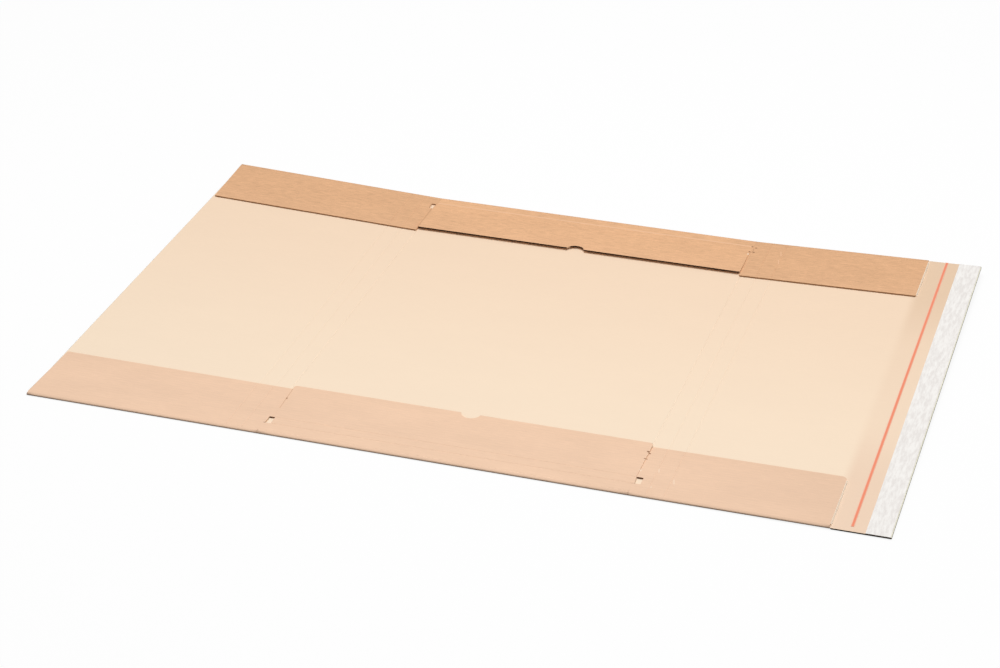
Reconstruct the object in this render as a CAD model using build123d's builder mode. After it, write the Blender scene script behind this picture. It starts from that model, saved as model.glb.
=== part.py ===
from build123d import *
from itertools import pairwise
from math import sqrt
import os

os.makedirs("parts", exist_ok=True)

# Calendar mailer: one die-cut blank of thin corrugated board, lying flat, inner face up.
# Its two long edges are folded 180 degrees in. X runs along the blank, Y across it,
# and the origin is the middle of its underside.

# The blank as it lies; the board is crushed flatter towards its long folds
sheet_length = 691
sheet_depth = 440
centre_length = 297
closure_length = 45
board = 1.2
fold_setback = 0.35
fold_top_run = 3
fold_top_drop = 0.9
fold_low_run = 1.4
fold_low_drop = 0.8
fold_runout = 0.5
cut_edge_radius = 0.1
layer_gap = 0.2

# Flaps, measured in from the folds
tab_depth = 73
side_flap_depth = 69.4
left_flap_taper = 2
near_right_corner_radius = 4.5
cut_corner_radius = 1.2
tab_corner_radius = 2.6
flap_end_gap = 0.4

# Relief slots, measured in from the folds
slit_gap = 0.3
strip_gap = 0.16
slot_start = 14.4
slot_length = 9.4
slot_corner_radius = 0.5

# The folded flaps lie a little askew, so each corner has its own slit and slot. Distances
# from the middle: slit at the slot, slit at the free edge, slot's inner and outer sides.
near_left_cut = (144.4, 145.7, 142.6, 147.3)
near_right_cut = (149, 149.6, 148, 154.5)
far_left_cut = (149.4, 148.5, 148.6, 152.4)
far_right_cut = (146.6, 147.2)

# Thumb notches in the centre flaps' free edges
notch_width = 15.6
notch_depth = 6.6
near_notch_x = 2
far_notch_x = -0.8

# Creases pressed into the board
crease_width = 1.2
crease_depth = 0.22
wall_height = 13.5
far_tab_lift = 5.3
near_tab_lift = 1.2

# How far the covers' corners stand off the table
far_left_rise = 7.2
near_left_rise = 0
far_right_rise = 6.2
near_right_rise = 0.7

# Closure: tear tape, and adhesive under its release liner
tape_width = 2.5
tape_thickness = 0.12
tape_end_gap = 6.5
tape_from_flap_end = 15.3
liner_width = 18.3
liner_thickness = 0.1
liner_end_gap = 0.7
adhesive_margin = 2
adhesive_thickness = 0.1
bond_gap = 0.06

# The lifted board's curve is drawn in this many straight spans along and across
along_spans = 4
across_spans = 8

# Overrun of every cutting solid
overrun = 5

# Derived places
crease_x = centre_length / 2
end_x = sheet_length / 2
edge_y = sheet_depth / 2
fold_y = edge_y - fold_setback
flap_end_x = end_x - closure_length
slot_end = slot_start + slot_length
flap_low = board + layer_gap
cover_length = end_x - crease_x
half_crease = crease_width / 2
first_wall_x = crease_x + wall_height
second_wall_x = first_wall_x + wall_height
arc_middle_share = 1 - sqrt(1 / 2)
square = (0, 0)
fold_top = (fold_top_run, fold_top_drop)
fold_low = (fold_low_run, fold_low_drop)
cut_low = (cut_edge_radius, cut_edge_radius)
cut_height = flap_low + board + far_left_rise + far_right_rise + far_tab_lift + overrun


def rise(x, y):
    """Height of the blank's underside above the table at a point in plan."""
    near_rise = near_left_rise if x < 0 else near_right_rise
    far_rise = far_left_rise if x < 0 else far_right_rise
    run_share = max(0, abs(x) - crease_x) / cover_length
    across_share = (y + edge_y) / sheet_depth
    return run_share * (near_rise + (far_rise - near_rise) * across_share)


def layer_section(x, near_y, far_y, low, thickness, corners):
    """One slice across the blank; corners run near low, far low, far top, near top."""
    near_low, far_low, far_top, near_top = corners
    inner = [near_y + (far_y - near_y) * span / across_spans for span in range(1, across_spans)]
    edges = []

    def at(y, height):
        return (x, y, low + height + rise(x, y))

    def straight(*points):
        edges.extend(Edge.make_line(*pair) for pair in pairwise(points))

    def corner(start, middle, end):
        if start != end:
            edges.append(Edge.make_three_point_arc(start, middle, end))

    def rounded(y, height, inward, upward):
        """Ends and middle of a corner's quarter round, from its level to its upright side."""
        middle = at(y + inward * arc_middle_share, height + upward * arc_middle_share)
        return at(y + inward, height), middle, at(y, height + upward)

    low_far = rounded(far_y, 0, -far_low[0], far_low[1])
    top_far = rounded(far_y, thickness, -far_top[0], -far_top[1])
    top_near = rounded(near_y, thickness, near_top[0], -near_top[1])
    low_near = rounded(near_y, 0, near_low[0], near_low[1])
    straight(low_near[0], *[at(y, 0) for y in inner], low_far[0])
    corner(*low_far)
    straight(low_far[-1], top_far[-1])
    corner(*top_far[::-1])
    straight(top_far[0], *[at(y, thickness) for y in inner[::-1]], top_near[0])
    corner(*top_near)
    straight(top_near[-1], low_near[-1])
    corner(*low_near[::-1])
    return Face(Wire(edges))


def crease_stations(start_x, stop_x, creases):
    """Distances from the middle where a slice is needed, each with its crease depth."""
    stations = [(start_x, crease_depth if start_x in creases else 0)]
    for crease in creases:
        if crease > start_x:
            stations.append((crease - half_crease, 0))
            stations.append((crease, crease_depth))
        stations.append((crease + half_crease, 0))
    plain_x = creases[-1] + half_crease
    for span in range(1, along_spans + 1):
        stations.append((plain_x + (stop_x - plain_x) * span / along_spans, 0))
    return stations


def creased_slices(side, stations, near_y, far_y, low, corners):
    """Slices of board that follows the lifted cover, thinner at each crease."""
    slices = []
    for distance, drop in stations[::side]:
        slices.append(layer_section(side * distance, near_y, far_y, low, board - drop, corners))
    return slices


def slit_x(cut, inward):
    """Distance of a slit from the middle, at a distance in from the fold."""
    return cut[0] + (cut[1] - cut[0]) * (inward - slot_end) / (tab_depth - slot_end)


def side_flap_plan(side, end, cut, end_taper, end_radius):
    """Outline of a side flap, from its slit to its outer end."""
    strip_x = crease_x + strip_gap / 2
    outer_x = flap_end_x - flap_end_gap if side > 0 else end_x
    points = [(strip_x, -overrun)]
    radii = [0]
    if cut[2:]:
        points += [(strip_x, slot_start), (cut[3], slot_start), (cut[3], slot_end)]
        radii += [0, slot_corner_radius, slot_corner_radius]
    else:
        points += [(strip_x, slot_end)]
        radii += [0]
    points += [
        (slit_x(cut, slot_end) + slit_gap / 2, slot_end),
        (slit_x(cut, side_flap_depth) + slit_gap / 2, side_flap_depth),
        (outer_x - end_taper, side_flap_depth),
        (outer_x, -overrun),
    ]
    radii += [0, cut_corner_radius, end_radius, 0]
    return [(side * x, end * (fold_y - inward)) for x, inward in points], radii


def centre_flap_plan(end, left_cut, right_cut):
    """Outline of a centre flap, without its thumb notch."""
    strip_x = crease_x - strip_gap / 2
    points = []
    radii = []
    for side, cut in ((-1, left_cut), (1, right_cut)):
        edge = [(strip_x, -overrun)]
        edge_radii = [0]
        if cut[2:]:
            inner_x = cut[2] - slit_gap / 2
            edge += [(strip_x, slot_start), (inner_x, slot_start), (inner_x, slot_end)]
            edge_radii += [0, 0, 0]
        else:
            edge += [(strip_x, slot_end)]
            edge_radii += [0]
        edge += [
            (slit_x(cut, slot_end) - slit_gap / 2, slot_end),
            (slit_x(cut, tab_depth) - slit_gap / 2, tab_depth),
        ]
        edge_radii += [0, tab_corner_radius]
        order = -side
        points += [(side * x, end * (fold_y - inward)) for x, inward in edge[::order]]
        radii += edge_radii[::order]
    return points, radii


def cut_prism(points, radii):
    """Upright prism of a plan outline, tall enough for any flap."""
    with BuildPart() as prism:
        with BuildSketch():
            with BuildLine():
                FilletPolyline(*points, radius=radii, close=True)
            make_face()
        extrude(amount=cut_height, both=True)
    return prism.part


def side_flap(side, end, cut, end_taper, end_radius):
    """Side flap folded in over its cover: end is -1 at the near fold and 1 at the far one."""
    near_y = -fold_y if end < 0 else fold_y - side_flap_depth - overrun
    far_y = fold_y if end > 0 else side_flap_depth + overrun - fold_y
    corners = (square, square, fold_top, square) if end > 0 else (square, square, square, fold_top)
    outer_x = (flap_end_x if side > 0 else end_x) + overrun
    stations = [(min(cut) - overrun, 0), (crease_x, 0)]
    stations += crease_stations(crease_x, outer_x, (first_wall_x, second_wall_x))[1:]
    slices = creased_slices(side, stations, near_y, far_y, flap_low, corners)
    outline, outline_radii = side_flap_plan(side, end, cut, end_taper, end_radius)
    with BuildPart() as flap:
        loft(slices, ruled=True, clean=False)
        add(cut_prism(outline, outline_radii), mode=Mode.INTERSECT, clean=False)
    return flap.part


def centre_flap(end, lift, notch_x, left_cut, right_cut):
    """Centre flap folded in over the base, bent up at its crease, with a thumb notch."""

    def at(inward, height):
        return (end * (fold_y - inward), flap_low + height)

    half = half_crease
    slope = lift / (tab_depth - slot_start)
    second_height = slope * slot_length
    past_lift = slope * overrun
    free = tab_depth + overrun
    top = [
        at(fold_top_run, board),
        at(slot_start - half, board),
        at(slot_start, board - crease_depth),
        at(slot_start + half, board + slope * half),
        at(slot_end - half, board + second_height - slope * half),
        at(slot_end, board + second_height - crease_depth),
        at(slot_end + half, board + second_height + slope * half),
    ]
    edge_height = board - fold_top_drop
    bend = at(fold_top_run * arc_middle_share, board - fold_top_drop * arc_middle_share)
    profile = top + [at(free, board + lift + past_lift), at(free, lift + past_lift)]
    profile += [at(slot_start, 0), at(0, 0), at(0, edge_height)]
    outline, outline_radii = centre_flap_plan(end, left_cut, right_cut)
    notch_radius = ((notch_width / 2) ** 2 + notch_depth**2) / (2 * notch_depth)
    notch_y = end * (fold_y - tab_depth + notch_depth - notch_radius)
    with BuildPart() as flap:
        with BuildSketch(Plane.YZ):
            with BuildLine():
                Polyline(*profile)
                ThreePointArc(at(0, edge_height), bend, at(fold_top_run, board))
            make_face()
        extrude(amount=first_wall_x, both=True)
        add(cut_prism(outline, outline_radii), mode=Mode.INTERSECT)
        with BuildSketch():
            with Locations((notch_x, notch_y)):
                Circle(notch_radius)
        extrude(amount=cut_height, mode=Mode.SUBTRACT)
    return flap.part


# A folded panel is rounded at its two lower corners, a cut one only blunted there
panel_corners = (fold_low, fold_low, square, square)
plain_corners = (square, square, square, square)
cut_corners = (cut_low, cut_low, square, square)

with BuildPart() as base_panel:
    base_stations = (
        (-crease_x, crease_depth),
        (half_crease - crease_x, 0),
        (crease_x - half_crease, 0),
        (crease_x, crease_depth),
    )
    base_slices = [
        layer_section(x, -fold_y, fold_y, 0, board - drop, panel_corners) for x, drop in base_stations
    ]
    loft(base_slices, ruled=True)

left_stations = crease_stations(crease_x, end_x, (crease_x, first_wall_x, second_wall_x))
right_stations = crease_stations(crease_x, flap_end_x, (crease_x, first_wall_x, second_wall_x))
tape_x = flap_end_x + tape_from_flap_end - tape_width / 2
liner_x = end_x - liner_end_gap - liner_width
closure_places = (
    flap_end_x + fold_runout,
    tape_x,
    tape_x + tape_width,
    liner_x,
    liner_x + liner_width,
    end_x,
)
closure_stations = [(x, 0) for x in closure_places]

with BuildPart() as left_cover_panel:
    loft(creased_slices(-1, left_stations, -fold_y, fold_y, 0, panel_corners), ruled=True, clean=False)

with BuildPart() as right_cover_panel:
    folded_slices = creased_slices(1, right_stations, -fold_y, fold_y, 0, panel_corners)
    closure_slices = creased_slices(1, closure_stations, -edge_y, edge_y, 0, cut_corners)
    loft(folded_slices + closure_slices, ruled=True, clean=False)

with BuildPart() as near_centre_flap:
    add(centre_flap(-1, near_tab_lift, near_notch_x, near_left_cut, near_right_cut))

with BuildPart() as far_centre_flap:
    add(centre_flap(1, far_tab_lift, far_notch_x, far_left_cut, far_right_cut))

with BuildPart() as left_near_flap:
    add(side_flap(-1, -1, near_left_cut, left_flap_taper, cut_corner_radius))

with BuildPart() as left_far_flap:
    add(side_flap(-1, 1, far_left_cut, left_flap_taper, cut_corner_radius))

with BuildPart() as right_near_flap:
    add(side_flap(1, -1, near_right_cut, 0, near_right_corner_radius))

with BuildPart() as right_far_flap:
    add(side_flap(1, 1, far_right_cut, 0, cut_corner_radius))


def ribbon(start_x, width, near_y, far_y, low, thickness):
    """Thin strip stuck on the right cover, following its lifted corner."""
    places = [start_x + width * span / along_spans for span in range(along_spans + 1)]
    slices = [layer_section(x, near_y, far_y, low, thickness, plain_corners) for x in places]
    with BuildPart() as strip:
        loft(slices, ruled=True, clean=False)
    return strip.part


stuck_low = board + bond_gap
liner_low = stuck_low + adhesive_thickness + bond_gap
tape_near_y = tape_end_gap - edge_y

with BuildPart() as tear_tape:
    add(ribbon(tape_x, tape_width, tape_near_y, edge_y, stuck_low, tape_thickness))

with BuildPart() as adhesive_strip:
    adhesive_x = liner_x + adhesive_margin
    adhesive_width = liner_width - 2 * adhesive_margin
    adhesive_y = edge_y - adhesive_margin
    add(ribbon(adhesive_x, adhesive_width, -adhesive_y, adhesive_y, stuck_low, adhesive_thickness))

with BuildPart() as release_liner:
    add(ribbon(liner_x, liner_width, -edge_y, edge_y, liner_low, liner_thickness))

named_parts = {
    "base_panel": base_panel,
    "left_cover_panel": left_cover_panel,
    "right_cover_panel": right_cover_panel,
    "near_centre_flap": near_centre_flap,
    "far_centre_flap": far_centre_flap,
    "left_near_flap": left_near_flap,
    "left_far_flap": left_far_flap,
    "right_near_flap": right_near_flap,
    "right_far_flap": right_far_flap,
    "tear_tape": tear_tape,
    "adhesive_strip": adhesive_strip,
    "release_liner": release_liner,
}

for name, piece in named_parts.items():
    piece.part.label = name
    export_step(piece.part, f"parts/{name}.step")
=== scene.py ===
import math

import bmesh
import bpy
from mathutils import Matrix, Vector


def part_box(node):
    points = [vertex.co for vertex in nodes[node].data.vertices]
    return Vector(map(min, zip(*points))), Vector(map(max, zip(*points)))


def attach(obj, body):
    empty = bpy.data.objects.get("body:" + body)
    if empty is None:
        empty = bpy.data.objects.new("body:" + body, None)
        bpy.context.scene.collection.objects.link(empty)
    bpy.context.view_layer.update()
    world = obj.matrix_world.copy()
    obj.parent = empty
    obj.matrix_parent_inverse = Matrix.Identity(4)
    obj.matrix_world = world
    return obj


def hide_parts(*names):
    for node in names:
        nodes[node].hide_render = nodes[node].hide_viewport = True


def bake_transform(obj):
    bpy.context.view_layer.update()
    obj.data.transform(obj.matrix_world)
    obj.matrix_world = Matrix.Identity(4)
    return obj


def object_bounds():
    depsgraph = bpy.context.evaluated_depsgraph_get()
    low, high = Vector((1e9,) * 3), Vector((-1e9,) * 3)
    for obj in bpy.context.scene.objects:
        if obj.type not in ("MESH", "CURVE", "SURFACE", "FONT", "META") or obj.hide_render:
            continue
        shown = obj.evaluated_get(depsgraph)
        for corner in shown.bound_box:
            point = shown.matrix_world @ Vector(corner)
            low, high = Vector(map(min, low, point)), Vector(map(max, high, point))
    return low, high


MM = 0.001

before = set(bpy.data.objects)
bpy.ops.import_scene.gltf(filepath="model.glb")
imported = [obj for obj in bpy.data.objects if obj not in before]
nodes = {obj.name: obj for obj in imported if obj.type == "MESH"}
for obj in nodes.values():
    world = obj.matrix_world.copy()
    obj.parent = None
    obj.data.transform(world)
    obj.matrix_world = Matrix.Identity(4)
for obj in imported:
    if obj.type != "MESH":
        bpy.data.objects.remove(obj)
cad_low, cad_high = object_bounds()


def box_mm(node):
    """Lowest and highest corner of a CAD node, in millimetres."""
    low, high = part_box(node)
    return low / MM, high / MM


# Sizes of the board in millimetres, read from model.glb where it has them
_, base_high = box_mm("base_panel")
tab_low, tab_high = box_mm("near_centre_flap")
flap_low, flap_high = box_mm("right_near_flap")
BOARD = base_high.z
CREASE_X = base_high.x
FOLD_Y = base_high.y
END_X = cad_high.x / MM
EDGE_Y = cad_high.y / MM
FLAP_LOW = tab_low.z
FLAP_TOP = FLAP_LOW + BOARD
FLAP_END_X = flap_high.x
FLAP_DEPTH = flap_high.y - flap_low.y
TAB_DEPTH = tab_high.y - tab_low.y
SLOT_START = 14.4
SLOT_END = 23.8
SLOT_MIDDLE = (SLOT_START + SLOT_END) / 2
FAR_LEFT_RISE = box_mm("left_cover_panel")[1].z - BOARD
FAR_RIGHT_RISE = box_mm("right_cover_panel")[1].z - BOARD
NEAR_RIGHT_RISE = 0.7
FLUTE_PITCH = 3.3
TAPE_X = sum(corner.x for corner in box_mm("tear_tape")) / 2


def rise(x, y):
    """Height of the blank's underside above the table, in millimetres."""
    near = 0 if x < 0 else NEAR_RIGHT_RISE
    far = FAR_LEFT_RISE if x < 0 else FAR_RIGHT_RISE
    run = max(0, abs(x) - CREASE_X) / (END_X - CREASE_X)
    return run * (near + (far - near) * (y + EDGE_Y) / (2 * EDGE_Y))


def linear(red, green, blue):
    """A colour read from the photograph, 0 to 255, as linear light."""
    return [((c / 255 + 0.055) / 1.055) ** 2.4 for c in (red, green, blue)] + [1]


# Colours of the board's two faces at the near and far folds, the near ones paler with a painted
# sheen, its cuts, marks and trim
# Painted sheen: each near colour is its far colour paled by a veil of light
PALE_NEAR_SHEEN = linear(248, 227, 202)
PALE_FAR = linear(243, 216, 189)
KRAFT_NEAR_SHEEN = linear(240, 204, 175)
KRAFT_FAR = linear(222, 174, 133)
CLOSURE_NEAR_SHEEN = linear(240, 212, 187)
CLOSURE_FAR = linear(230, 201, 172)
PALE_RIM = linear(236, 232, 212)
# Cut edges: the board's brown, darkened further as painted shade of the flutes and of the gaps
# under the flaps
CUT_LIGHT = linear(184, 142, 106)
CUT_DARK = linear(132, 94, 64)
# Painted shade on the near slots' cut walls
SLOT_PAINTED_SHADE = linear(88, 50, 28)
# Painted light: the flute ends are as light as the kraft face, against the shade they lie in
FLUTE_SHADE = linear(232, 198, 166)
FLUTE_LIGHT = linear(240, 206, 174)
# Painted light: the crushed ends are as pale as the closure, though they face away from the lamp
CRUSH_SHADE = linear(250, 230, 208)
CRUSH_LIGHT = linear(254, 238, 218)
# Painted shade: the panels' cut edges and ends, dark as in the shadow under their edges
PANEL_EDGE_SHADE = linear(112, 98, 78)
PANEL_RIM_SHADE = linear(148, 140, 116)
# Painted shade: the laid far flap's cut edge, near black like the shadowed gap under it
LAID_EDGE_SHADE = linear(74, 46, 28)
# Painted highlight along creases
CREASE_HIGHLIGHT = linear(236, 190, 152)
# The first two are painted shade in nicks, perforations and along slits
NICK_SHADE = linear(146, 104, 76)
SLIT_SHADE = linear(204, 158, 120)
NICK_FAINT = linear(246, 216, 190)
NICK_LIGHT = linear(250, 228, 204)
TAPE_RED = linear(250, 144, 110)
TAPE_EDGE = linear(248, 192, 166)
LINER_WHITE = linear(249, 246, 242)
LINER_GREY = linear(234, 229, 225)
GLUE_CREAM = linear(236, 222, 190)

# Small marks in the folded flaps' kraft face, the dark and soft brown ones painted shade in nicks,
# perforations and along slits, the crease ones painted highlights: start, end, half width and
# colour
STROKES = (
    ((-145.2, -165.3), (-144.4, -167.5), 0.4, NICK_SHADE),
    ((-145.2, -152.0), (-144.3, -182.0), 0.12, SLIT_SHADE),
    ((-149.1, 195.4), (-148.2, 149.0), 0.4, SLIT_SHADE),
    ((148.1, -159.2), (150.0, -160.6), 0.5, NICK_SHADE),
    ((148.1, -169.6), (150.0, -169.0), 0.3, NICK_SHADE),
    ((149.3, -185.5), (149.5, -186.5), 0.5, NICK_LIGHT),
    ((162.3, -180.1), (163.3, -184.2), 0.4, NICK_FAINT),
    ((176.9, -192.0), (178.3, -197.4), 0.4, NICK_FAINT),
    ((163.0, -206.2), (163.2, -207.2), 0.4, NICK_FAINT),
    ((172.7, 203.5), (174.4, 195.8), 0.25, CREASE_HIGHLIGHT),
    ((174.0, 187.6), (175.7, 179.9), 0.25, CREASE_HIGHLIGHT),
    ((146.0, 191.2), (146.0, 192.0), 0.5, NICK_LIGHT),
    ((145.8, 196.9), (146.2, 196.9), 0.5, NICK_SHADE),
    ((146.1, 207.5), (146.5, 207.5), 0.5, NICK_SHADE),
    ((149.6, 196.9), (150.0, 196.9), 0.5, NICK_SHADE),
    ((149.8, 205.8), (150.2, 205.8), 0.5, NICK_SHADE),
)


class Shader:
    """A material's nodes, with one short call for each kind."""

    def __init__(self, name, roughness=0.85, specular=0.2):
        self.material = bpy.data.materials.new(name)
        self.material.use_nodes = True
        self.tree = self.material.node_tree
        self.surface = self.tree.nodes["Principled BSDF"]
        self.surface.inputs["Roughness"].default_value = roughness
        self.surface.inputs["Specular IOR Level"].default_value = specular
        coordinates = self.tree.nodes.new("ShaderNodeTexCoord")
        self.normal = coordinates.outputs["Normal"]
        self.place = self.scaled(coordinates.outputs["Object"], 1 / MM)
        self.x, self.y, self.z = self.split(self.place)

    def feed(self, socket, value):
        if isinstance(value, bpy.types.NodeSocket):
            self.tree.links.new(value, socket)
        elif socket.type == "VECTOR":
            socket.default_value = value[:3]
        else:
            socket.default_value = value

    def math(self, operation, first, second=0.0, third=0.0):
        node = self.tree.nodes.new("ShaderNodeMath")
        node.operation = operation
        for socket, value in zip(node.inputs, (first, second, third)):
            self.feed(socket, value)
        return node.outputs[0]

    def scaled(self, value, factor):
        """A place or colour times a plain factor."""
        node = self.tree.nodes.new("ShaderNodeVectorMath")
        node.operation = "SCALE"
        self.feed(node.inputs[0], value)
        self.feed(node.inputs["Scale"], factor)
        return node.outputs[0]

    def split(self, value):
        node = self.tree.nodes.new("ShaderNodeSeparateXYZ")
        self.feed(node.inputs[0], value)
        return node.outputs

    def band(self, value, centre, half_width, soft):
        """1 where value is within half_width of centre, falling to 0 over soft."""
        distance = self.math("ABSOLUTE", self.math("SUBTRACT", value, centre))
        return self.ramp(distance, half_width + soft, half_width)

    def ramp(self, value, low, high, to_low=0.0, to_high=1.0):
        node = self.tree.nodes.new("ShaderNodeMapRange")
        node.interpolation_type = "SMOOTHSTEP"
        for socket, given in zip(node.inputs, (value, low, high, to_low, to_high)):
            self.feed(socket, given)
        return node.outputs[0]

    def noise(self, stretch, detail=3.0, roughness=0.6, seed=0.0):
        """Noise from 0 to 1 whose cells are 1 / stretch millimetres along each axis."""
        node = self.tree.nodes.new("ShaderNodeTexNoise")
        node.noise_dimensions = "4D"
        node.inputs["Scale"].default_value = 1.0
        node.inputs["W"].default_value = seed
        node.inputs["Detail"].default_value = detail
        node.inputs["Roughness"].default_value = roughness
        mapping = self.tree.nodes.new("ShaderNodeMapping")
        mapping.inputs["Scale"].default_value = stretch
        self.feed(mapping.inputs["Vector"], self.place)
        self.feed(node.inputs["Vector"], mapping.outputs[0])
        return node.outputs[0]

    def mix(self, share, first, second):
        node = self.tree.nodes.new("ShaderNodeMix")
        node.data_type = "RGBA"
        self.feed(node.inputs[0], share)
        self.feed(node.inputs[6], first)
        self.feed(node.inputs[7], second)
        return node.outputs[2]

    def bump(self, height, distance):
        node = self.tree.nodes.new("ShaderNodeBump")
        node.inputs["Distance"].default_value = distance * MM
        self.feed(node.inputs["Height"], height)
        self.feed(self.surface.inputs["Normal"], node.outputs[0])

    def stroke(self, base, start, end, half_width, tint):
        """A short stroke of another colour between two places in plan."""
        run = Vector(end) - Vector(start)
        beside = self.math("SUBTRACT", self.x, start[0])
        beyond = self.math("SUBTRACT", self.y, start[1])
        share = self.math("MULTIPLY", beside, run.x / run.length_squared)
        share = self.math("MULTIPLY_ADD", beyond, run.y / run.length_squared, share)
        share.node.use_clamp = True
        beside = self.math("MULTIPLY_ADD", share, -run.x, beside)
        beyond = self.math("MULTIPLY_ADD", share, -run.y, beyond)
        squares = self.math("MULTIPLY", beside, beside)
        squares = self.math("MULTIPLY_ADD", beyond, beyond, squares)
        distance = self.math("SQRT", squares)
        return self.mix(self.ramp(distance, half_width * 2, half_width), base, tint)

    def colour(self, value):
        self.feed(self.surface.inputs["Base Color"], value)


# Cells to the millimetre of each kind of grain, along x, y and z
CLOUD_GRAIN = (0.012, 0.03, 0.03)
FIBRE_GRAIN = (0.11, 0.9, 0.9)
SPECK_GRAIN = (0.9, 1.6, 1.6)
CUT_GRAIN = (0.3, 0.6, 3.0)
RIM_GRAIN = (0.5, 0.5, 2.0)
TAPE_GRAIN = (0.8, 0.02, 0.02)
PRINT_GRAIN = (0.45, 0.09, 0.09)
GLUE_GRAIN = (0.3, 0.1, 0.1)

# How strong the paper's grain is, and how deep it stands in millimetres
SPECK_SHARE = 0.6
PALE_GRAIN = {"mottle": 0.03, "near_fibre": 0.03, "far_fibre": 0.06, "washboard": 0.002}
KRAFT_GRAIN = {"mottle": 0.18, "near_fibre": 0.16, "far_fibre": 0.7, "washboard": 0.008}
GRAIN_DEPTH = 0.05


def paper_grain(shader, base, mottle, near_fibre, far_fibre, washboard):
    """Cloudy mottling, short fibres along the board and the flutes' faint lines."""
    fibre = shader.ramp(shader.y, -EDGE_Y, EDGE_Y, near_fibre, far_fibre)
    speck = shader.math("MULTIPLY", fibre, SPECK_SHARE)
    cloud = shader.noise(CLOUD_GRAIN, detail=4, seed=1)
    dashes = shader.noise(FIBRE_GRAIN, detail=3, roughness=0.7, seed=2)
    specks = shader.noise(SPECK_GRAIN, detail=2, seed=3)
    lines = shader.math("SINE", shader.math("MULTIPLY", shader.y, 2 * math.pi / FLUTE_PITCH))
    factor = shader.math("MULTIPLY_ADD", shader.math("SUBTRACT", cloud, 0.5), mottle, 1.0)
    factor = shader.math("MULTIPLY_ADD", shader.math("SUBTRACT", dashes, 0.5), fibre, factor)
    factor = shader.math("MULTIPLY_ADD", shader.math("SUBTRACT", specks, 0.5), speck, factor)
    factor = shader.math("MULTIPLY_ADD", lines, washboard, factor)
    return shader.scaled(base, factor), shader.math("ADD", dashes, specks)


# Where the closure's duller tone starts and is full, from the right flaps' ends, and how
# much of it the middle of the closure lacks
CLOSURE_LEAD = 6
CLOSURE_TRAIL = 4
MIDDLE_HALF = 50
MIDDLE_SOFT = 110
MIDDLE_LACK = 0.65
LINER_END = END_X - 0.9
LINER_SOFT = 0.2


def pale_face(shader):
    """The inner face, with a painted sheen that pales it towards the near fold, duller at the
    closure and greenish on the rim beyond the liner.
    """
    # Painted sheen, paler towards the near fold
    share = shader.ramp(shader.y, -EDGE_Y, EDGE_Y)
    base = shader.mix(share, PALE_NEAR_SHEEN, PALE_FAR)
    closure = shader.ramp(shader.x, FLAP_END_X - CLOSURE_LEAD, FLAP_END_X + CLOSURE_TRAIL)
    middle = shader.band(shader.y, 0, MIDDLE_HALF, MIDDLE_SOFT)
    lack = shader.math("MULTIPLY_ADD", middle, -MIDDLE_LACK, 1)
    closure = shader.math("MULTIPLY", closure, lack)
    base = shader.mix(closure, base, shader.mix(share, CLOSURE_NEAR_SHEEN, CLOSURE_FAR))
    beyond_liner = shader.ramp(shader.x, LINER_END, LINER_END + LINER_SOFT)
    base = shader.mix(beyond_liner, base, PALE_RIM)
    return paper_grain(shader, base, **PALE_GRAIN)


TAIL_START = CREASE_X - 30
TAIL_SHADE = 0.05


def kraft_face(shader):
    """The outer face, with a painted sheen that pales it towards the near fold, a little darker
    towards the near right end.
    """
    # Painted sheen, paler towards the near fold
    share = shader.ramp(shader.y, -EDGE_Y, EDGE_Y)
    base = shader.mix(share, KRAFT_NEAR_SHEEN, KRAFT_FAR)
    tail = shader.ramp(shader.x, TAIL_START, FLAP_END_X, 0, TAIL_SHADE)
    tail = shader.math("MULTIPLY", tail, shader.math("SUBTRACT", 1, share))
    base = shader.scaled(base, shader.math("SUBTRACT", 1, tail))
    return paper_grain(shader, base, **KRAFT_GRAIN)


# The far tab is painted lighter, as painted light where it tilts, with a pressed line between its
# fold and its slots painted as a highlight
TAB_PAINTED_LIGHT = 0.07
TAB_SOFT = 1
TAB_END = CREASE_X - 2 * TAB_SOFT
PRESSED_Y = FOLD_Y - SLOT_START + 2.4
PRESSED_HALF = 0.5
PRESSED_SOFT = 0.6


def marked_kraft(shader):
    """Kraft face with the far tab's painted light and pressed line painted as a highlight, and the
    small marks by the slits, partly painted shade.
    """
    base, grain = kraft_face(shader)
    on_tab = shader.band(shader.x, 0, TAB_END, TAB_SOFT)
    far_tab = shader.math("MULTIPLY", on_tab, shader.ramp(shader.y, 0, EDGE_Y))
    base = shader.scaled(base, shader.math("MULTIPLY_ADD", far_tab, TAB_PAINTED_LIGHT, 1))
    line = shader.band(shader.y, PRESSED_Y, PRESSED_HALF, PRESSED_SOFT)
    base = shader.mix(shader.math("MULTIPLY", on_tab, line), base, CREASE_HIGHLIGHT)
    for start, end, half_width, tint in STROKES:
        base = shader.stroke(base, start, end, half_width, tint)
    return base, grain


# Shares of a face's normal between which it turns from a cut into a liner or an end
FACE_TURN = (0.35, 0.5)
END_TURN = (0.6, 0.8)
SLOT_SOFT = 2


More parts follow.
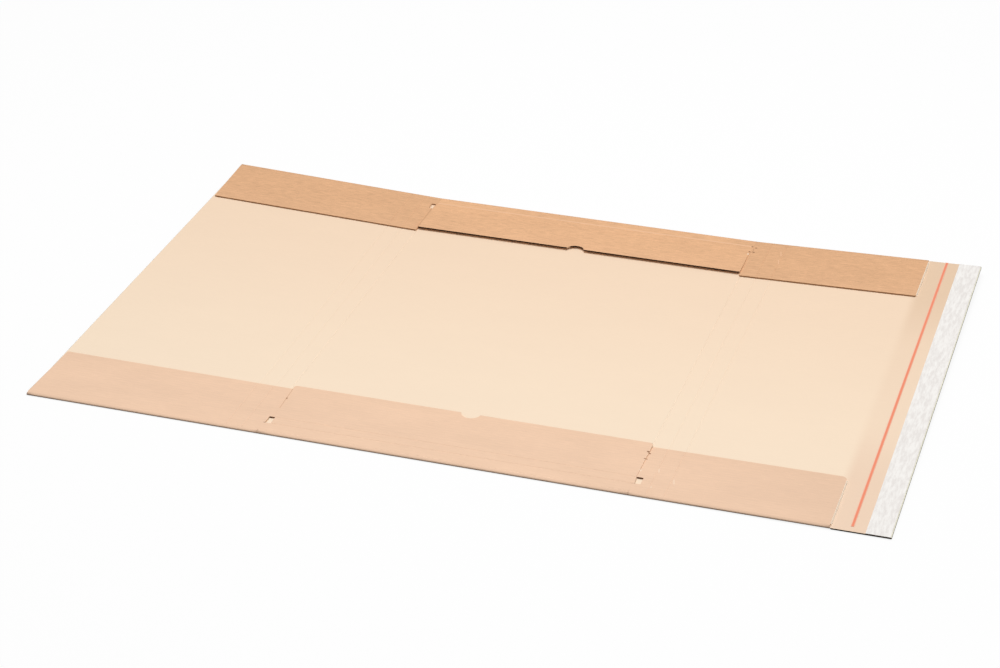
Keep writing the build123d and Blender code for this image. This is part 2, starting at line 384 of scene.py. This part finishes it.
def board_material(name, upper, lower, edge=None, ends=None):
    """Board with one liner above, the other below, and cut edges between. The cuts are brown,
    with painted shade in the near slots, or of the given edge colour, and of another at their ends."""
    shader = Shader(name)
    endward, _, upward = shader.split(shader.normal)
    upper_colour, grain = upper(shader)
    lower_colour, _ = lower(shader)
    layers = shader.noise(CUT_GRAIN, seed=4)
    if edge:
        cut = shader.scaled(edge, layers)
    else:
        half = SLOT_END - SLOT_MIDDLE
        # Painted shade on the cut walls in the near slots
        in_slot_shade = shader.band(shader.y, SLOT_MIDDLE - FOLD_Y, half, SLOT_SOFT)
        cut = shader.mix(in_slot_shade, shader.mix(layers, CUT_DARK, CUT_LIGHT), SLOT_PAINTED_SHADE)
    if ends:
        is_end = shader.ramp(shader.math("ABSOLUTE", endward), *END_TURN)
        cut = shader.mix(is_end, cut, ends)
    is_upper = shader.ramp(upward, *FACE_TURN)
    is_lower = shader.ramp(shader.math("MULTIPLY", upward, -1), *FACE_TURN)
    colour = shader.mix(is_upper, cut, upper_colour)
    shader.colour(shader.mix(is_lower, colour, lower_colour))
    shader.bump(grain, GRAIN_DEPTH)
    return shader.material


def plain_liner(name, face):
    shader = Shader(name)
    colour, grain = face(shader)
    shader.colour(colour)
    shader.bump(grain, GRAIN_DEPTH)
    return shader.material


def edge_material(name, dark, light):
    shader = Shader(name)
    shader.colour(shader.mix(shader.noise(RIM_GRAIN, seed=6), dark, light))
    return shader.material


TAPE_CORE = 0.5
TAPE_SOFT = 0.7


def tape_material(name):
    """Film with a strong core and thin see-through sides, a little uneven along it."""
    shader = Shader(name, roughness=0.4, specular=0.5)
    streaks = shader.noise(TAPE_GRAIN, detail=2, seed=5)
    core = shader.band(shader.x, TAPE_X, TAPE_CORE, TAPE_SOFT)
    base = shader.mix(core, TAPE_EDGE, TAPE_RED)
    shader.colour(shader.scaled(base, shader.ramp(streaks, 0.2, 0.8, 0.95, 1.0)))
    return shader.material


def liner_material(name):
    """Coated paper with a faint grey back print, kept as plain soft blotches."""
    shader = Shader(name, roughness=0.5, specular=0.4)
    blotches = shader.noise(PRINT_GRAIN, detail=3, roughness=0.7, seed=5)
    shader.colour(shader.mix(shader.ramp(blotches, 0.35, 0.65), LINER_GREY, LINER_WHITE))
    return shader.material


def glue_material(name):
    shader = Shader(name, roughness=0.35, specular=0.5)
    ripple = shader.noise(GLUE_GRAIN, detail=2, seed=7)
    shader.colour(shader.scaled(GLUE_CREAM, shader.ramp(ripple, 0.2, 0.8, 0.94, 1.0)))
    return shader.material


# The panels' cut edges carry painted shade
panel_board = board_material("panel_board", pale_face, kraft_face, edge=PANEL_EDGE_SHADE)
folded_board = board_material("folded_board", marked_kraft, pale_face, ends=FLUTE_SHADE)
# The laid flap's cut edges carry painted shade
laid_board = board_material("laid_board", marked_kraft, pale_face, LAID_EDGE_SHADE, FLUTE_SHADE)
kraft_skin = plain_liner("kraft_skin", kraft_face)
pale_skin = plain_liner("pale_skin", pale_face)
flap_rim_lightened = edge_material("flap_rim_lightened", FLUTE_SHADE, FLUTE_LIGHT)
crushed_rim_lightened = edge_material("crushed_rim_lightened", CRUSH_SHADE, CRUSH_LIGHT)
panel_rim_shade = edge_material("panel_rim_shade", PANEL_EDGE_SHADE, PANEL_RIM_SHADE)
tape_film = tape_material("tape_film")
liner_paper = liner_material("liner_paper")
glue = glue_material("glue")

MATERIALS = {
    "base_panel": panel_board,
    "left_cover_panel": panel_board,
    "right_cover_panel": panel_board,
    "near_centre_flap": folded_board,
    "far_centre_flap": folded_board,
    "left_near_flap": folded_board,
    "left_far_flap": folded_board,
    "right_near_flap": folded_board,
    "right_far_flap": folded_board,
    "tear_tape": tape_film,
    "adhesive_strip": glue,
    "release_liner": liner_paper,
}
for node, material in MATERIALS.items():
    nodes[node].data.materials.clear()
    nodes[node].data.materials.append(material)


def loft(name, solids, material):
    """One piece of closed solids, each through its own loops of points in millimetres."""
    points = []
    faces = []
    for loops in solids:
        size = len(loops[0])
        first = len(points)
        last = first + (len(loops) - 1) * size
        points += [tuple(c * MM for c in point) for loop in loops for point in loop]
        for start in range(first, last, size):
            for index in range(size):
                side = (start + index, start + (index + 1) % size)
                faces.append((*side, side[1] + size, side[0] + size))
        faces.append(tuple(range(first, first + size))[::-1])
        faces.append(tuple(range(last, last + size)))
    mesh = bpy.data.meshes.new(name)
    mesh.from_pydata(points, [], faces)
    mesh.materials.append(material)
    mesh.validate()
    piece = bpy.data.objects.new(name, mesh)
    bpy.context.scene.collection.objects.link(piece)
    return piece


def spaced(start, stop, count):
    """count + 1 evenly spaced numbers from start to stop."""
    return [start + (stop - start) * step / count for step in range(count + 1)]


# The far centre flap lies lower at its free end, and ends nearer its fold, than its solid
LAID_DEPTH = 65.9
LAID_LIFT = 1.6
LAID_NOTCH_SHARE = 0.86
WELD = 0.001


def laid_flap(flap):
    """The solid's own shape with its free end drawn in and let down towards the panel."""
    slope = (box_mm(flap)[1].z - FLAP_TOP) / (TAB_DEPTH - SLOT_START)
    laid_slope = LAID_LIFT / (LAID_DEPTH - SLOT_START)
    solid = bmesh.new()
    solid.from_mesh(nodes[flap].data)
    bmesh.ops.remove_doubles(solid, verts=solid.verts, dist=WELD * MM)
    points = []
    for vertex in solid.verts:
        inward = FOLD_Y - vertex.co.y / MM
        laid = inward
        if inward > TAB_DEPTH / 2:
            laid = LAID_DEPTH - (TAB_DEPTH - inward) * LAID_NOTCH_SHARE
        drop = slope * max(0, inward - SLOT_START) - laid_slope * max(0, laid - SLOT_START)
        points.append((vertex.co.x, (FOLD_Y - laid) * MM, vertex.co.z - drop * MM))
    faces = [[vertex.index for vertex in face.verts] for face in solid.faces]
    solid.free()
    mesh = bpy.data.meshes.new(flap + "_laid")
    mesh.from_pydata(points, [], faces)
    mesh.materials.append(laid_board)
    piece = bpy.data.objects.new(flap + "_laid", mesh)
    bpy.context.scene.collection.objects.link(piece)
    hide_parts(flap)
    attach(piece, flap)


laid_flap("far_centre_flap")

# The outer liner wraps each fold, crushed flatter above and below its nose
FOLD_TOP_RUN = 3
FOLD_LOW_RUN = 1.4
FOLD_BULGE = EDGE_Y - FOLD_Y
FOLD_POWER = 2 / 2.3
NOSE_Z = 1.25
TOP_PROUD = 0.02
SKIN = 0.08
SKIN_GAP = 0.1
STEPS_ALONG = 24
STEPS_ROUND = 14


def fold_skin(name, end, start_x, stop_x):
    """Liner around one stretch of a long fold: end is -1 at the near fold, 1 at the far."""
    fold = end * FOLD_Y
    loops = []
    for x in spaced(start_x + SKIN_GAP, stop_x - SKIN_GAP, STEPS_ALONG):
        outer, inner = [], []
        for angle in spaced(math.pi / 2, -math.pi / 2, STEPS_ROUND):
            run = FOLD_TOP_RUN if angle > 0 else FOLD_LOW_RUN
            reach = FLAP_TOP + TOP_PROUD - NOSE_Z if angle > 0 else NOSE_Z
            level = math.cos(angle) ** FOLD_POWER
            upright = math.copysign(abs(math.sin(angle)) ** FOLD_POWER, angle)
            for ring, shrink in ((outer, 0), (inner, SKIN)):
                y = fold + end * ((run + FOLD_BULGE - shrink) * level - run)
                height = NOSE_Z + (reach - shrink) * upright
                ring.append((x, y, height + rise(x, fold)))
        loops.append(outer + inner[::-1])
    piece = loft(name, [loops], kraft_skin)
    for polygon in piece.data.polygons:
        polygon.use_smooth = len(polygon.vertices) == 4
    along = Vector((stop_x - start_x, 0, rise(stop_x, fold) - rise(start_x, fold)))
    across = Vector((-along.z, 0, along.x)).normalized()
    across *= math.copysign(1, across.z)
    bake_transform(piece)


fold_skin("near_centre_fold_skin", -1, -CREASE_X, CREASE_X)
fold_skin("far_centre_fold_skin", 1, -CREASE_X, CREASE_X)
fold_skin("left_near_fold_skin", -1, -END_X, -CREASE_X)
fold_skin("left_far_fold_skin", 1, -END_X, -CREASE_X)
fold_skin("right_near_fold_skin", -1, CREASE_X, FLAP_END_X)
fold_skin("right_far_fold_skin", 1, CREASE_X, FLAP_END_X)

# The board bends round each cover's crease: outer liner below, inner liner above.
BEND_HALF = 0.06
BEND_END_GAP = 1.1
BEND_STEPS = 18
GROOVE_Z = 0.96
SPINE_LOW = 0.02


def crease_bend(name, side, low, high, material):
    """One layer of the board across a cover's crease."""
    loops = []
    limit = FOLD_Y - BEND_END_GAP
    for x in spaced(side * (CREASE_X - BEND_HALF), side * (CREASE_X + BEND_HALF), BEND_STEPS):
        loops.append([(x, -limit, low), (x, limit, low), (x, limit, high), (x, -limit, high)])
    piece = loft(name, [loops], material)
    if side < 0:
        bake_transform(piece)
    else:
        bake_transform(piece)


for side, body in ((-1, "left_cover"), (1, "right_cover")):
    middle = GROOVE_Z / 2
    crease_bend(body + "_spine_outer", side, SPINE_LOW, middle, kraft_skin)
    crease_bend(body + "_spine_inner", side, middle, GROOVE_Z, pale_skin)


# Cut ends of the board, where the flutes show between the two liners
LINER_EDGE = 0.24
FLUTE_SHEET = 0.16
FLUTE_STEPS = 8
LINER_SUNK = 0.01
EDGE_PROUD = 0.1
EDGE_SUNK = 0.05
LEFT_TAPER = 2
FOLD_CLEAR = 0.3
FLAP_START = FOLD_Y - FOLD_TOP_RUN - FOLD_CLEAR
PANEL_END = FOLD_Y - FOLD_LOW_RUN
STRIP_END = EDGE_Y - 0.5
NEAR_RIGHT_CORNER = 4.5
PLAIN_CORNER = 1.3


def flute_edge(name, body, material, start, stop, low):
    """Liners and wavy medium along one cut end, between two places in plan."""
    side = math.copysign(1, start.x)
    count = round((stop - start).length / FLUTE_PITCH) * FLUTE_STEPS
    swing = BOARD / 2 - LINER_EDGE - FLUTE_SHEET / 2
    under, over, medium = [], [], []
    for step in range(count + 1):
        place = start.lerp(stop, step / count)
        floor = low + rise(place.x, place.y)
        middle = floor + BOARD / 2 + swing * math.sin(2 * math.pi * step / FLUTE_STEPS)
        layers = [(medium, middle - FLUTE_SHEET / 2, middle + FLUTE_SHEET / 2)]
        if step % FLUTE_STEPS == 0:
            layers.append((under, floor + LINER_SUNK, floor + LINER_EDGE))
            layers.append((over, floor + BOARD - LINER_EDGE, floor + BOARD - LINER_SUNK))
        for loops, bottom, top in layers:
            inner = place.x - side * EDGE_SUNK
            outer = place.x + side * EDGE_PROUD
            corners = ((inner, bottom), (outer, bottom), (outer, top), (inner, top))
            loops.append([(x, place.y, z) for x, z in corners])
    piece = loft(name, [under, over, medium], material)
    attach(piece, body)


# The panels' flute ends are coloured with painted shade
flute_edge(
    "left_end_flutes",
    "left_cover",
    panel_rim_shade,
    Vector((-END_X, -PANEL_END)),
    Vector((-END_X, PANEL_END)),
    0,
)
flute_edge(
    "right_end_flutes",
    "right_cover",
    panel_rim_shade,
    Vector((END_X, -STRIP_END)),
    Vector((END_X, STRIP_END)),
    0,
)
for end, flap in ((-1, "left_near_flap"), (1, "left_far_flap")):
    left_stop = end * (FOLD_Y - FLAP_DEPTH + PLAIN_CORNER)
    flute_edge(
        flap + "_flutes",
        flap,
        flap_rim_lightened,
        Vector((-END_X, end * FLAP_START)),
        Vector((LEFT_TAPER - END_X, left_stop)),
        FLAP_LOW,
    )

# The right flaps' ends are crushed down on to the closure by the cutting rule
# Their sloping ends are painted pale as painted light
CRUSH_RUN = 1.1
CRUSH_LOW = 0.1
CRUSH_SUNK = 0.02
SHOULDER_RUN = CRUSH_RUN / 3
SHOULDER_DROP = 0.2
CRUSH_STEPS = 8


def crushed_end(flap, end, corner):
    """Sloping end of a right flap, from near its fold to where its corner starts."""
    loops = []
    for y in spaced(end * FLAP_START, end * (FOLD_Y - FLAP_DEPTH + corner), CRUSH_STEPS):
        low = FLAP_LOW + rise(FLAP_END_X, y) - CRUSH_LOW
        high = FLAP_TOP + rise(FLAP_END_X, y) - CRUSH_SUNK
        inner = (FLAP_END_X - EDGE_SUNK, y)
        outer = (FLAP_END_X + CRUSH_RUN, y)
        shoulder = (FLAP_END_X + SHOULDER_RUN, y, high - SHOULDER_DROP)
        loops.append([(*inner, low), (*outer, low), shoulder, (*inner, high)])
    piece = loft(flap + "_crushed_end", [loops], crushed_rim_lightened)
    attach(piece, flap)


crushed_end("right_near_flap", -1, NEAR_RIGHT_CORNER)
crushed_end("right_far_flap", 1, PLAIN_CORNER)


# Torn paper fibres close each narrow slit just under the surface. Each row gives the
# flap, its side and end, the slit's middle at the slot and at the free edge, and the recess
SLIT_WIDTH = 0.26
SLIT_STEPS = 10
TRIM_GAP = 0.2
TRIM_LOW = 0.05
SLITS = (
    ("left_near_flap", -1, -1, 144.4, 145.7, 0.07),
    ("right_near_flap", 1, -1, 149.0, 149.6, 0.03),
    ("left_far_flap", -1, 1, 149.4, 148.5, 0.25),
    ("right_far_flap", 1, 1, 146.6, 147.2, 0.03),
)


def slit_fibres(flap, side, end, slot_x, free_x, recess):
    """Strip along a side flap's slit: slot_x and free_x are its middle at the two ends."""
    loops = []
    for inward in spaced(SLOT_END + TRIM_GAP, FLAP_DEPTH - PLAIN_CORNER, SLIT_STEPS):
        share = (inward - SLOT_END) / (TAB_DEPTH - SLOT_END)
        middle = slot_x + (free_x - slot_x) * share
        inner = side * (middle - SLIT_WIDTH / 2)
        outer = side * (middle + SLIT_WIDTH)
        y = end * (FOLD_Y - inward)
        low = FLAP_LOW + rise(outer, y) + TRIM_LOW
        high = FLAP_TOP + rise(outer, y) - recess
        loops.append([(inner, y, low), (outer, y, low), (outer, y, high), (inner, y, high)])
    piece = loft(flap + "_slit_fibres", [loops], kraft_skin)
    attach(piece, flap)


for slit in SLITS:
    slit_fibres(*slit)


# The near right slot's inner side. Each end's row gives its distance from the fold, its x
# and its height over the flap's top
LIP_START = CREASE_X - 0.7
LIP_ENDS = ((SLOT_START + TRIM_GAP, 149.9, -0.04), (SLOT_END - TRIM_GAP, 149.2, 0.14))


def slot_lip():
    """The near right slot's inner side, which stands in askew."""
    loops = []
    low = FLAP_LOW + TRIM_LOW
    for inward, lip_x, lift in LIP_ENDS:
        y = inward - FOLD_Y
        high = FLAP_TOP + lift
        loops.append([(LIP_START, y, low), (lip_x, y, low), (lip_x, y, high), (LIP_START, y, high)])
    piece = loft("near_right_slot_lip", [loops], kraft_skin)
    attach(piece, "near_centre_flap")


slot_lip()


WEB_WIDTH = 0.14
WEB_SUNK = 0.01


def uncut_web(flap, side, end):
    """Uncut board between a side flap and its centre flap, from the fold to the slot."""
    loops = []
    inner = side * (CREASE_X - WEB_WIDTH / 2)
    outer = side * (CREASE_X + WEB_WIDTH)
    low = FLAP_LOW + TRIM_LOW
    high = FLAP_TOP - WEB_SUNK
    for inward in (FOLD_TOP_RUN + TRIM_GAP, SLOT_START - TRIM_GAP):
        y = end * (FOLD_Y - inward)
        loops.append([(inner, y, low), (outer, y, low), (outer, y, high), (inner, y, high)])
    piece = loft(flap + "_web", [loops], kraft_skin)
    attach(piece, flap)


for flap, side, end, *_ in SLITS:
    uncut_web(flap, side, end)


# The floor lies just under the part and reaches this far each way, in metres. To the
# camera it is mostly plain white, which leaves a part of the shadow
FLOOR_REACH = 8
FLOOR_Z = -0.02 * MM
FLOOR_WHITE = (0.95, 0.95, 0.95, 1)
FLOOR_DULL = (0.12, 0.12, 0.12, 1)
PLAIN_WHITE_SHARE = 0.88


def add_stage():
    """Floor that is white to the camera, with part of the shadow, and dull to other rays."""
    mesh = bpy.data.meshes.new("floor")
    turns = ((-1, -1), (1, -1), (1, 1), (-1, 1))
    corners = [(x * FLOOR_REACH, y * FLOOR_REACH, FLOOR_Z) for x, y in turns]
    mesh.from_pydata(corners, [], [(0, 1, 2, 3)])
    floor = bpy.data.objects.new("floor", mesh)
    bpy.context.scene.collection.objects.link(floor)
    material = bpy.data.materials.new("floor_white")
    material.use_nodes = True
    tree = material.node_tree
    surface = tree.nodes["Principled BSDF"]
    surface.inputs["Base Color"].default_value = FLOOR_WHITE
    surface.inputs["Roughness"].default_value = 1.0
    surface.inputs["Specular IOR Level"].default_value = 0.0
    dull = tree.nodes.new("ShaderNodeBsdfDiffuse")
    dull.inputs["Color"].default_value = FLOOR_DULL
    glow = tree.nodes.new("ShaderNodeEmission")
    glow.inputs["Strength"].default_value = 1.0
    path = tree.nodes.new("ShaderNodeLightPath")
    seen = tree.nodes.new("ShaderNodeMixShader")
    seen.inputs[0].default_value = PLAIN_WHITE_SHARE
    mixer = tree.nodes.new("ShaderNodeMixShader")
    tree.links.new(surface.outputs[0], seen.inputs[1])
    tree.links.new(glow.outputs[0], seen.inputs[2])
    tree.links.new(path.outputs["Is Camera Ray"], mixer.inputs[0])
    tree.links.new(dull.outputs[0], mixer.inputs[1])
    tree.links.new(seen.outputs[0], mixer.inputs[2])
    tree.links.new(mixer.outputs[0], tree.nodes["Material Output"].inputs["Surface"])
    mesh.materials.append(material)


# Sizes and places in metres, the lamp's power in watts
SKY_STRENGTH = 0.29
LAMP_WIDTH = 2.2
LAMP_DEPTH = 1.6
LAMP_POWER = 44.5
LAMP_PLACE = (0.1, 0.15, 2.2)


def add_light():
    """Even white surroundings and one large soft lamp overhead."""
    world = bpy.data.worlds.new("studio")
    bpy.context.scene.world = world
    world.use_nodes = True
    background = world.node_tree.nodes["Background"]
    background.inputs["Color"].default_value = (1, 1, 1, 1)
    background.inputs["Strength"].default_value = SKY_STRENGTH
    lamp = bpy.data.lights.new("soft_box", "AREA")
    lamp.shape = "RECTANGLE"
    lamp.size = LAMP_WIDTH
    lamp.size_y = LAMP_DEPTH
    lamp.energy = LAMP_POWER
    place = bpy.data.objects.new("soft_box", lamp)
    place.location = LAMP_PLACE
    place.rotation_euler = (-place.location).to_track_quat("-Z", "Y").to_euler()
    bpy.context.scene.collection.objects.link(place)


# The camera's place in metres, its angles in radians and its lens in millimetres
CAMERA_PLACE = (0.54551, -1.7594, 0.9995)
AZIMUTH = 0.31164
ELEVATION = 0.49783
ROLL = -0.00216
SENSOR = 36
LENS = 90.8734
CLIP_START = 0.05
CLIP_END = 50


def add_camera():
    """The photograph's camera, fitted to the blank's corners and creases."""
    outward = Vector((-math.sin(AZIMUTH), math.cos(AZIMUTH), 0)) * math.cos(ELEVATION)
    forward = outward - Vector((0, 0, math.sin(ELEVATION)))
    level = Vector((math.cos(AZIMUTH), math.sin(AZIMUTH), 0))
    upright = level.cross(forward)
    right = level * math.cos(ROLL) + upright * math.sin(ROLL)
    up = upright * math.cos(ROLL) - level * math.sin(ROLL)
    camera = bpy.data.cameras.new("camera")
    camera.sensor_width = SENSOR
    camera.lens = LENS
    camera.clip_start = CLIP_START
    camera.clip_end = CLIP_END
    place = bpy.data.objects.new("camera", camera)
    turn = Matrix((right, up, -forward)).transposed().to_4x4()
    place.matrix_world = Matrix.Translation(CAMERA_PLACE) @ turn
    bpy.context.scene.collection.objects.link(place)
    bpy.context.scene.camera = place


add_stage()
add_light()
add_camera()
bpy.context.scene.view_settings.view_transform = "Standard"
